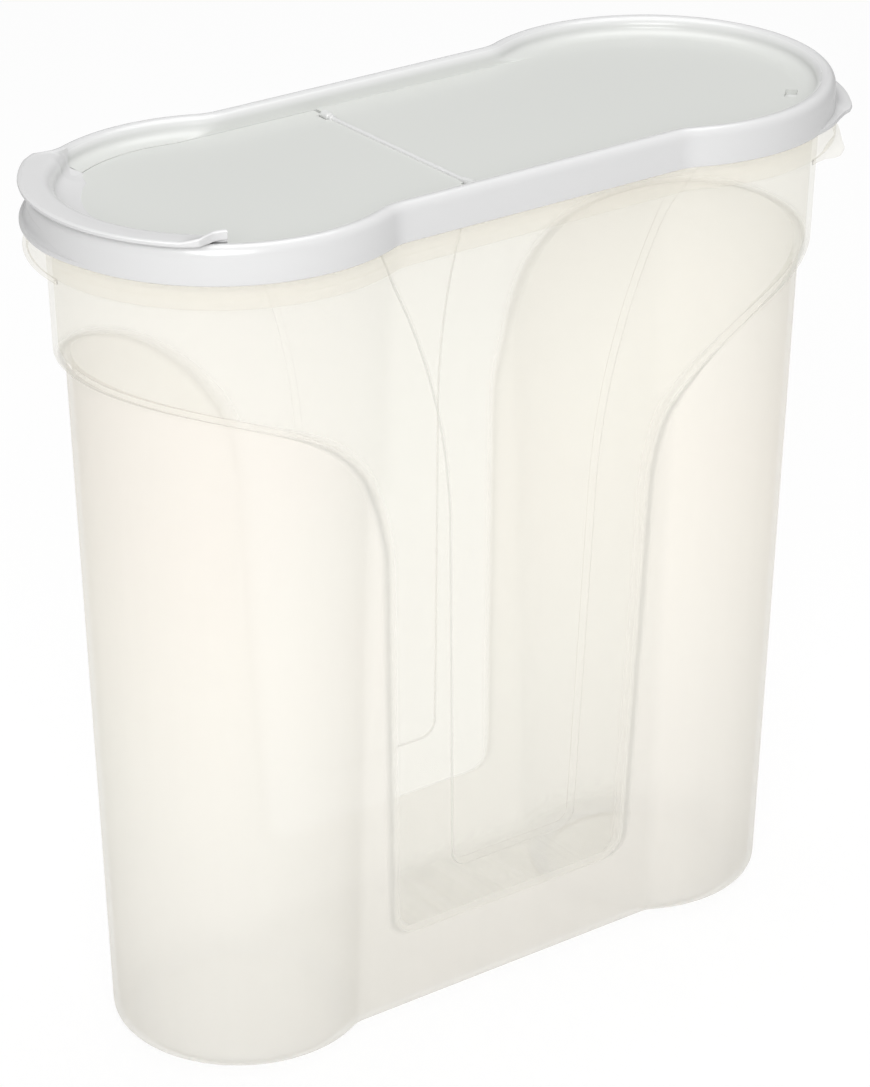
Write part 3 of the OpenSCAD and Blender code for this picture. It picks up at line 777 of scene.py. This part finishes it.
def build_lid():
    tub, rim, lid = sizes()
    panel = lid_heights()[2]
    ledge = panel - lid.flap_t
    under = ledge - lid.sheet
    edge_x = HINGE_X + (lid.roll_r + lid.flap_fit)
    step_x = edge_x + lid.sheet
    plug_r = rim.rim_r + lid.bead_in
    run = running(extra=(
        waist_run(edge_x, lid.recess_r, lid.recess_w, lid.recess_neck),
        waist_run(step_x, plug_r, plug_r - rim.rim_dip, rim.rim_neck - lid.bead_in)))
    rings = lid_profile(run)
    piece = Piece("lid_shell")
    # Painted light and shade: the white mark runs from the panel's painted-shade grey at the recess foot to
    # the lit tone on the bead, and the other parts get set shares between them.
    white = np.interp(range(len(rings)), (0, 5, 10, 18), (0, 0.12, 0.45, 1))
    piece.add(*mirrored(*lofted(rings)), white=np.tile(np.repeat(white, len(run)), 4))

    # Top: the panel with its notch, then the step down to the ledge and the mouth
    foot, notch = full_loop(rings[0]), notch_outline(panel)
    piece.fill(end_part(foot, edge_x, 1), [notch], white=0.0)
    left = end_part(foot, edge_x, -1)
    low_left = left * (1, 1, 0) + (0, 0, ledge)
    piece.tube([left, low_left], white=0.3)
    mouth = [mouth_outline(0, z) for z in (ledge, under)]
    piece.fill(low_left, mouth[:1], white=0.5)
    piece.tube(mouth, white=0.5)

    # Underside: round the mouth, then up to the back of the panel
    plug = full_loop(rings[-1])
    piece.fill(end_part(plug, step_x, -1), mouth[1:], up=False, white=0.5)
    right = end_part(plug, step_x, 1)
    high = right * (1, 1, 0) + (0, 0, panel - lid.sheet)
    piece.tube([right, high], white=0.5)
    piece.fill(high, up=False, white=0.5)
    well = notch - (0, 0, lid.notch_h)
    piece.tube([notch, well], white=0.0)
    piece.fill(well, white=0.0)

    for s in (-1, 1):
        start = s * (lid.hinge_half + lid.flap_fit)
        hinge_cylinder(piece, start, start + s * lid.boss_l, lid.boss_r, 0.4 * MM, white=0.6)
    skirt, skirt_r = tub.shelf + lid.skirt_gap, rim.rim_r + lid.skirt_out
    flare(piece, 1, skirt_r, skirt, lid.tab_t, lid.tab_out, 0.5, FAR_TAB, white=1.0)
    flare(piece, -1, skirt_r, skirt, lid.tab_t, lid.heel_out, 2, HEEL, white=1.0)
    return piece.finish(white_plastic(), sharp=40)


def lip_section(turn):
    """Section of the thumb lip at an angle in degrees: out of the plate, up the slope, over the bead."""
    _, rim, lid = sizes()
    _, crest, panel = lid_heights()
    away, gap = abs(turn), lid.flap_fit
    fade = float(np.interp(away, (48, 57), (1, 0)))
    reach = rim.rim_r + lid.lip_out * (1 - 1.35 * shares(away, LIP_TAPER))
    curl = lid.curl_h * shares(away, CURL_RISE) * (1.0 if turn < 0 else 0.15)
    inside, shoulder = panel - lid.flap_t + 0.4 * MM, crest - lid.fall_in
    r0, r1 = lid.recess_r - gap, rim.rim_r + lid.bead_in - gap
    low, top = crest + gap, crest + gap + lid.flap_t
    start = r0 - 4 * MM * max(fade, 0.1)

    def slope(near, far, foot, rises):
        return [(near + (far - near) * math.sin(a),
                 shoulder - (shoulder - foot) * math.cos(a)) for a in rises]

    def crown(near, height, limit, rises):
        return [(min(near + (rim.rim_r - r1) * (1 - math.cos(a)), limit),
                 shoulder + (height - shoulder) * math.sin(a)) for a in rises]

    edge = [(0.5, low), (0.1, low + 0.3 * MM), (0, low + 0.7 * MM), (0.1, top + curl - 0.3 * MM),
            (0.6, top + curl), (1.4, top + curl), (2.1, top + 0.5 * curl)]
    thick = lid.flap_t * fade + 0.5 * MM
    return [(start, inside), (r0 - 0.2 * MM, inside), (r0 - 0.2 * MM, panel - 0.2 * MM),
            *slope(r0, r1, panel + gap, np.radians((20, 40, 60, 80, 90))),
            *crown(r1, low, reach - 0.6 * MM, np.radians((20, 40, 60, 80, 90))),
            *((reach - back * MM, z) for back, z in edge),
            *crown(r1 - thick, top, reach - 2.6 * MM, degrees(90, 0, 9)),
            *slope(start, r1 - thick, panel, degrees(80, 0, 9))]


def build_flap():
    _, _, lid = sizes()
    panel = lid_heights()[2]
    ledge, fit, gap = panel - lid.flap_t, lid.flap_fit, lid.plate_fit
    piece = Piece("flap_plate")

    # Plate, cut out round the lid's bosses
    run = running(extra=[waist_run(HINGE_X, lid.recess_r, lid.recess_w, lid.recess_neck)])
    edge = bone(run, lid.recess_r - gap, lid.recess_w - gap, lid.recess_neck + gap)
    edge = edge[edge[:, 0] > -HINGE_X - 0.01 * MM] * (-1, 1)
    back, side = HINGE_X - lid.boss_r - fit, lid.hinge_half
    end = side + lid.boss_l + 2 * fit
    corners = [edge[-1], (HINGE_X, end), (back, end), (back, side), (HINGE_X, side), (HINGE_X, 0)]
    half = np.vstack([edge, fillet(corners, [0.3 * MM] * 4)[1:-1]])
    outline = np.concatenate([half[::-1], (half * (1, -1))[1:]])
    along = np.roll(outline, -1, 0) - np.roll(outline, 1, 0)
    normal = np.column_stack([along[:, 1], -along[:, 0]])
    normal /= np.linalg.norm(normal, axis=1)[:, None]
    bevel = 0.25 * MM
    loops = [flat_loop(outline - normal * inward, z) for z, inward in (
        (ledge, 0), (panel - bevel, 0), (panel - 0.3 * bevel, 0.3 * bevel), (panel, bevel))]
    # The white marks paint shade: the plate's top takes the painted-shade grey and the lip takes the lit
    # tone.
    piece.tube(loops, white=0.0)
    piece.fill(loops[0], up=False, white=0.3)
    piece.fill(loops[-1], white=0.0)

    hinge_cylinder(piece, -lid.hinge_half, lid.hinge_half, lid.roll_r, 0.15 * MM, white=0.8)
    for s in (-1, 1):
        hinge_cylinder(piece, s * (lid.hinge_half - 1 * MM), s * (lid.hinge_half + fit + lid.pin_l),
                       lid.pin_r, 0.2 * MM, white=0.8)
    end = round(math.degrees(lid.lip_span) / 2)
    loops = [turned(-1, -turn, lip_section(turn)) for turn in range(-end, end + 1)]
    piece.sweep(loops, white=1.0)

    high, low, thick = ledge + 0.2 * MM, ledge - lid.seal_h, fit + lid.seal_t
    seal = ((fit, high), (fit, low), (thick, low), (thick, high), (fit, high))
    piece.tube([mouth_outline(*corner) for corner in seal], white=0.6)
    return piece.finish(white_plastic(), sharp=40)


# Materials

class Value:
    """A node socket that can be used in Python expressions."""

    def __init__(self, shader, socket):
        self.shader, self.socket = shader, socket

    def maths(self, operation, *others):
        values = [v.socket if isinstance(v, Value) else v for v in (self, *others)]
        return self.shader.node("ShaderNodeMath", {"operation": operation}, dict(enumerate(values)))

    def __add__(self, other):
        return self.maths("ADD", other)

    def __mul__(self, other):
        return self.maths("MULTIPLY", other)

    def __sub__(self, other):
        return self.maths("SUBTRACT", other)

    def __rsub__(self, other):
        return self.maths("MULTIPLY_ADD", -1.0, other)

    def __truediv__(self, other):
        return self.maths("DIVIDE", other)

    __radd__, __rmul__ = __add__, __mul__

    def clamped(self):
        made = self.maths("ADD", 0.0)
        made.socket.node.use_clamp = True
        return made


class Shader:
    """The nodes of one material or world."""

    def __init__(self, owner):
        self.owner = owner
        owner.use_nodes = True
        self.tree = owner.node_tree
        self.tree.nodes.clear()

    @cached_property
    def place(self):
        return self.node("ShaderNodeTexCoord", {}, {}, "Object")

    def node(self, kind, settings, inputs, output=0):
        """A node of this kind with its settings made first, then its inputs; gives one output."""
        node = self.tree.nodes.new(kind)
        for key, value in settings.items():
            setattr(node, key, value)
        for key, value in inputs.items():
            socket = node.inputs[key]
            source = value.socket if isinstance(value, Value) else value
            if isinstance(source, bpy.types.NodeSocket):
                self.tree.links.new(source, socket)
            else:
                socket.default_value = source
        return Value(self, node.outputs[output])

    def noise(self, scale, detail=2.0, vector=None):
        return self.node("ShaderNodeTexNoise", {}, {
            "Vector": vector or self.place, "Scale": scale, "Detail": detail, "Roughness": 0.5})

    def stretched(self, scales):
        return self.node("ShaderNodeMapping", {}, {"Vector": self.place, "Scale": scales})

    def mark(self, name):
        return self.node("ShaderNodeAttribute", {"attribute_name": name}, {}, "Fac")

    def blended(self, factor, one, two):
        return self.node("ShaderNodeMix", {"data_type": "RGBA", "clamp_factor": True},
                         {0: factor, 6: one, 7: two}, 2)

    def between(self, factor, one, two):
        return self.node("ShaderNodeMix", {"data_type": "FLOAT", "clamp_factor": True},
                         {0: factor, 2: one, 3: two}, 0)

    def height(self):
        return self.node("ShaderNodeSeparateXYZ", {}, {"Vector": self.place}, "Z")

    def bump(self, field, strength, distance):
        return self.node("ShaderNodeBump", {}, {
            "Height": field, "Strength": strength, "Distance": distance}, "Normal")

    def output(self, surface, kind="ShaderNodeOutputMaterial"):
        out = self.tree.nodes.new(kind)
        self.tree.links.new(surface.socket, out.inputs["Surface"])
        return self.owner


def rgba(colour_):
    return (*colour_, 1.0)


def natural_plastic():
    """Natural polypropylene: clear and glossy in the window, frosted elsewhere."""
    tub, rim, _ = sizes()
    finish = bpy.context.scene.keeper_finish
    s = Shader(bpy.data.materials.new("natural_plastic"))
    clear, line = s.mark("clear"), s.mark("line")
    cloud = s.noise(7.0, 1.5)
    flow = s.noise(60.0, 3.0, s.stretched((1.0, 1.0, 0.06)))
    grain = s.noise(2600.0, 2.0)
    high = s.height()
    low = (1 - high / (0.5 * tub.shelf)).clamped()
    skirt = ((high - (tub.shelf - rim.flange_h)) / MM).clamped()
    patches = (cloud * 2.4 - 0.85).clamped()
    tone = s.blended(patches * 0.8, rgba(finish.natural), rgba(finish.warm))
    tone = s.blended(skirt, tone, rgba(finish.rim))
    # Painted shade low on the tub, greyer towards the floor.
    tone = s.blended(low * 0.8, tone, rgba(finish.low_painted_shade))
    # Painted shade along the relief's steps and the inner floor's edge: darker and more opaque there.
    tone = s.blended(line * finish.line, tone, rgba(finish.painted_line_shade))
    alpha = s.between(clear, finish.frosted_alpha, finish.clear_alpha) + line * 0.4 + (flow - 0.5) * 0.04
    roughness = s.between(clear, finish.frost, finish.gloss) + (flow - 0.5) * 0.08
    bump = s.bump(s.between(clear, grain, flow * 0.4), 0.12, 0.0002)
    skin = s.node("ShaderNodeBsdfPrincipled", {}, {
        "Base Color": tone, "Roughness": roughness, "Normal": bump, "IOR": 1.49, "Specular IOR Level": 0.4})
    through = s.node("ShaderNodeBsdfTranslucent", {}, {"Color": rgba(finish.natural), "Normal": bump})
    body = s.node("ShaderNodeMixShader", {}, {0: finish.milk, 1: skin, 2: through})
    open_ = s.node("ShaderNodeBsdfTransparent", {}, {"Color": (1, 0.998, 0.984, 1)})
    return s.output(s.node("ShaderNodeMixShader", {}, {0: alpha.clamped(), 1: open_, 2: body}))


def white_plastic():
    """White moulded plastic, flatter on the panel than on the bead, with painted shade greying the panel
    and painted light on the bead.
    """
    if "white_plastic" in bpy.data.materials:
        return bpy.data.materials["white_plastic"]
    finish = bpy.context.scene.keeper_finish
    s = Shader(bpy.data.materials.new("white_plastic"))
    white = s.mark("white")
    cloud = s.noise(14.0, 2.0)
    grain = s.noise(1900.0, 2.0)
    matt, shiny, cream = 0.46, 0.24, (0.80, 0.79, 0.74)
    # Painted light and shade: the white mark blends the panel's shaded grey into the bead's lit tone; the
    # roughness change is the real finish.
    tone = s.blended(white, rgba(finish.panel), rgba(finish.white))
    tone = s.blended((cloud - 0.35).clamped() * 0.06, tone, rgba(cream))
    roughness = s.between(white, matt, shiny) + (cloud - 0.5) * 0.05
    return s.output(s.node("ShaderNodeBsdfPrincipled", {}, {
        "Base Color": tone, "Roughness": roughness,
        "Normal": s.bump(grain, 0.06, 0.0001), "IOR": 1.49,
        "Coat Weight": 0.25, "Coat Roughness": 0.15}))


def studio_floor():
    """A pale floor that shows white to the camera and keeps the keeper's soft shadow."""
    s = Shader(bpy.data.materials.new("studio_floor"))
    speckle, grey = s.noise(30.0, 2.0), (0.74, 0.74, 0.74)
    tone = s.blended(speckle * 0.04, rgba(bpy.context.scene.keeper_finish.floor), rgba(grey))
    matt = s.node("ShaderNodeBsdfDiffuse", {}, {"Color": tone})
    glow = s.node("ShaderNodeEmission", {}, {"Color": rgba(WHITE), "Strength": FLOOR_GLOW})
    seen = s.node("ShaderNodeLightPath", {}, {}, "Is Camera Ray")
    return s.output(s.node("ShaderNodeMixShader", {}, {0: seen * GLOW_SHARE, 1: matt, 2: glow}))


# Operators

class KEEPER_OT_tub(bpy.types.Operator):
    """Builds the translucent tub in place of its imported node"""
    bl_idname = "keeper.tub"
    bl_label = "Build tub"

    def execute(self, context):
        made = build_tub()
        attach(made, "tub")
        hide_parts("tub")
        return {"FINISHED"}


class KEEPER_OT_lid(bpy.types.Operator):
    """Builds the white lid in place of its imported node"""
    bl_idname = "keeper.lid"
    bl_label = "Build lid"

    def execute(self, context):
        made = build_lid()
        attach(made, "lid")
        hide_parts("lid")
        return {"FINISHED"}


class KEEPER_OT_flap(bpy.types.Operator):
    """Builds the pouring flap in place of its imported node"""
    bl_idname = "keeper.flap"
    bl_label = "Build flap"

    def execute(self, context):
        made = build_flap()
        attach(made, "flap")
        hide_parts("flap")
        return {"FINISHED"}


class KEEPER_OT_stage(bpy.types.Operator):
    """Sets up the floor, the lamps, the world and the camera"""
    bl_idname = "keeper.stage"
    bl_label = "Set the stage"

    def execute(self, context):
        build_floor()
        build_world()
        for name, place, size, energy in LAMPS:
            build_lamp(name, place, size, energy)
        build_camera()
        context.scene.view_settings.view_transform = "Standard"
        return {"FINISHED"}


# Studio. Each lamp has its name, place, size and power in watts.

LAMPS = [
    ("key_lamp", (-1.1, -1.45, 1.1), 1.3, 27.5),
    ("top_lamp", (0.2, 0.2, 1.9), 1.6, 18.0),
]
WHITE = (1.0, 1.0, 1.0)
FLOOR_GLOW = 1.04
GLOW_SHARE = 0.84
ROOM_LIGHT = 0.38


def build_floor():
    half = 6.0
    corners = [(-half, -half, 0), (half, -half, 0), (half, half, 0), (-half, half, 0)]
    mesh = bpy.data.meshes.new("floor")
    mesh.from_pydata(corners, [], [(0, 1, 2, 3)])
    floor = bpy.data.objects.new("floor", mesh)
    bpy.context.scene.collection.objects.link(floor)
    mesh.materials.append(studio_floor())


def build_world():
    """A pale room: white where the camera or a clear wall shows it, softer as a light."""
    world = bpy.data.worlds.new("studio")
    bpy.context.scene.world = world
    s = Shader(world)
    seen = s.node("ShaderNodeLightPath", {}, {}, "Is Camera Ray")
    through = s.node("ShaderNodeLightPath", {}, {}, "Is Transmission Ray")
    strength = s.between(seen.maths("MAXIMUM", through), ROOM_LIGHT, 1.0)
    room = s.node("ShaderNodeBackground", {}, {"Color": rgba(WHITE), "Strength": strength})
    s.output(room, "ShaderNodeOutputWorld")


def build_lamp(name, place, size, energy):
    data = bpy.data.lights.new(name, "AREA")
    data.shape, data.size, data.energy = "DISK", size, energy
    lamp = bpy.data.objects.new(name, data)
    lamp.location = place
    aim = Vector((0, 0, 0.14)) - Vector(place)
    lamp.rotation_euler = aim.to_track_quat("-Z", "Y").to_euler()
    bpy.context.scene.collection.objects.link(lamp)


# Camera, fitted to the photograph's outlines, with its angles in degrees
CAMERA = {
    "azimuth": -35.092, "elevation": 25.583, "roll": -0.476, "distance": 1189.1 * MM,
    "target": (-21.34 * MM, 14.98 * MM, 138.0 * MM),
    "focal_px": 3915.4, "centre_px": (358.1, 538.2), "frame_px": (870, 1087),
}


def build_camera():
    a, e, roll = (math.radians(CAMERA[k]) for k in ("azimuth", "elevation", "roll"))
    back = Vector((math.sin(a) * math.cos(e), -math.cos(a) * math.cos(e), math.sin(e)))
    right = (-back).cross(Vector((0, 0, 1))).normalized()
    up = right.cross(-back)
    right, up = right * math.cos(roll) + up * math.sin(roll), up * math.cos(roll) - right * math.sin(roll)
    data = bpy.data.cameras.new("camera")
    wide, tall = CAMERA["frame_px"]
    data.sensor_fit = "AUTO"
    data.sensor_width = 36.0
    data.lens = CAMERA["focal_px"] * data.sensor_width / max(wide, tall)
    data.shift_x = (wide / 2 - CAMERA["centre_px"][0]) / max(wide, tall)
    data.shift_y = (CAMERA["centre_px"][1] - tall / 2) / max(wide, tall)
    camera = bpy.data.objects.new("camera", data)
    place = Vector(CAMERA["target"]) + back * CAMERA["distance"]
    turn = Matrix((right, up, back)).transposed()
    camera.matrix_world = Matrix.Translation(place) @ turn.to_4x4()
    bpy.context.scene.collection.objects.link(camera)
    bpy.context.scene.camera = camera


class KEEPER_PT_panel(bpy.types.Panel):
    """Lists the keeper's pieces"""
    bl_label = "Cereal keeper"
    bl_idname = "KEEPER_PT_panel"
    bl_space_type = "VIEW_3D"
    bl_region_type = "UI"
    bl_category = "Keeper"

    def draw(self, context):
        for operator in OPERATORS:
            self.layout.operator(operator.bl_idname)
        for name in GROUPS:
            group = getattr(context.scene, name)
            box = self.layout.box()
            for key in group.__annotations__:
                box.prop(group, key)


OPERATORS = [KEEPER_OT_tub, KEEPER_OT_lid, KEEPER_OT_flap, KEEPER_OT_stage]
CLASSES = [*GROUPS.values(), *OPERATORS, KEEPER_PT_panel]


def register():
    for cls in CLASSES:
        bpy.utils.register_class(cls)
    for name, group in GROUPS.items():
        setattr(bpy.types.Scene, name, bpy.props.PointerProperty(type=group))


def unregister():
    for name in GROUPS:
        delattr(bpy.types.Scene, name)
    for cls in reversed(CLASSES):
        bpy.utils.unregister_class(cls)


def main():
    register()
    bpy.ops.keeper.tub()
    bpy.ops.keeper.lid()
    bpy.ops.keeper.flap()
    bpy.ops.keeper.stage()


if __name__ == "__main__":
    main()
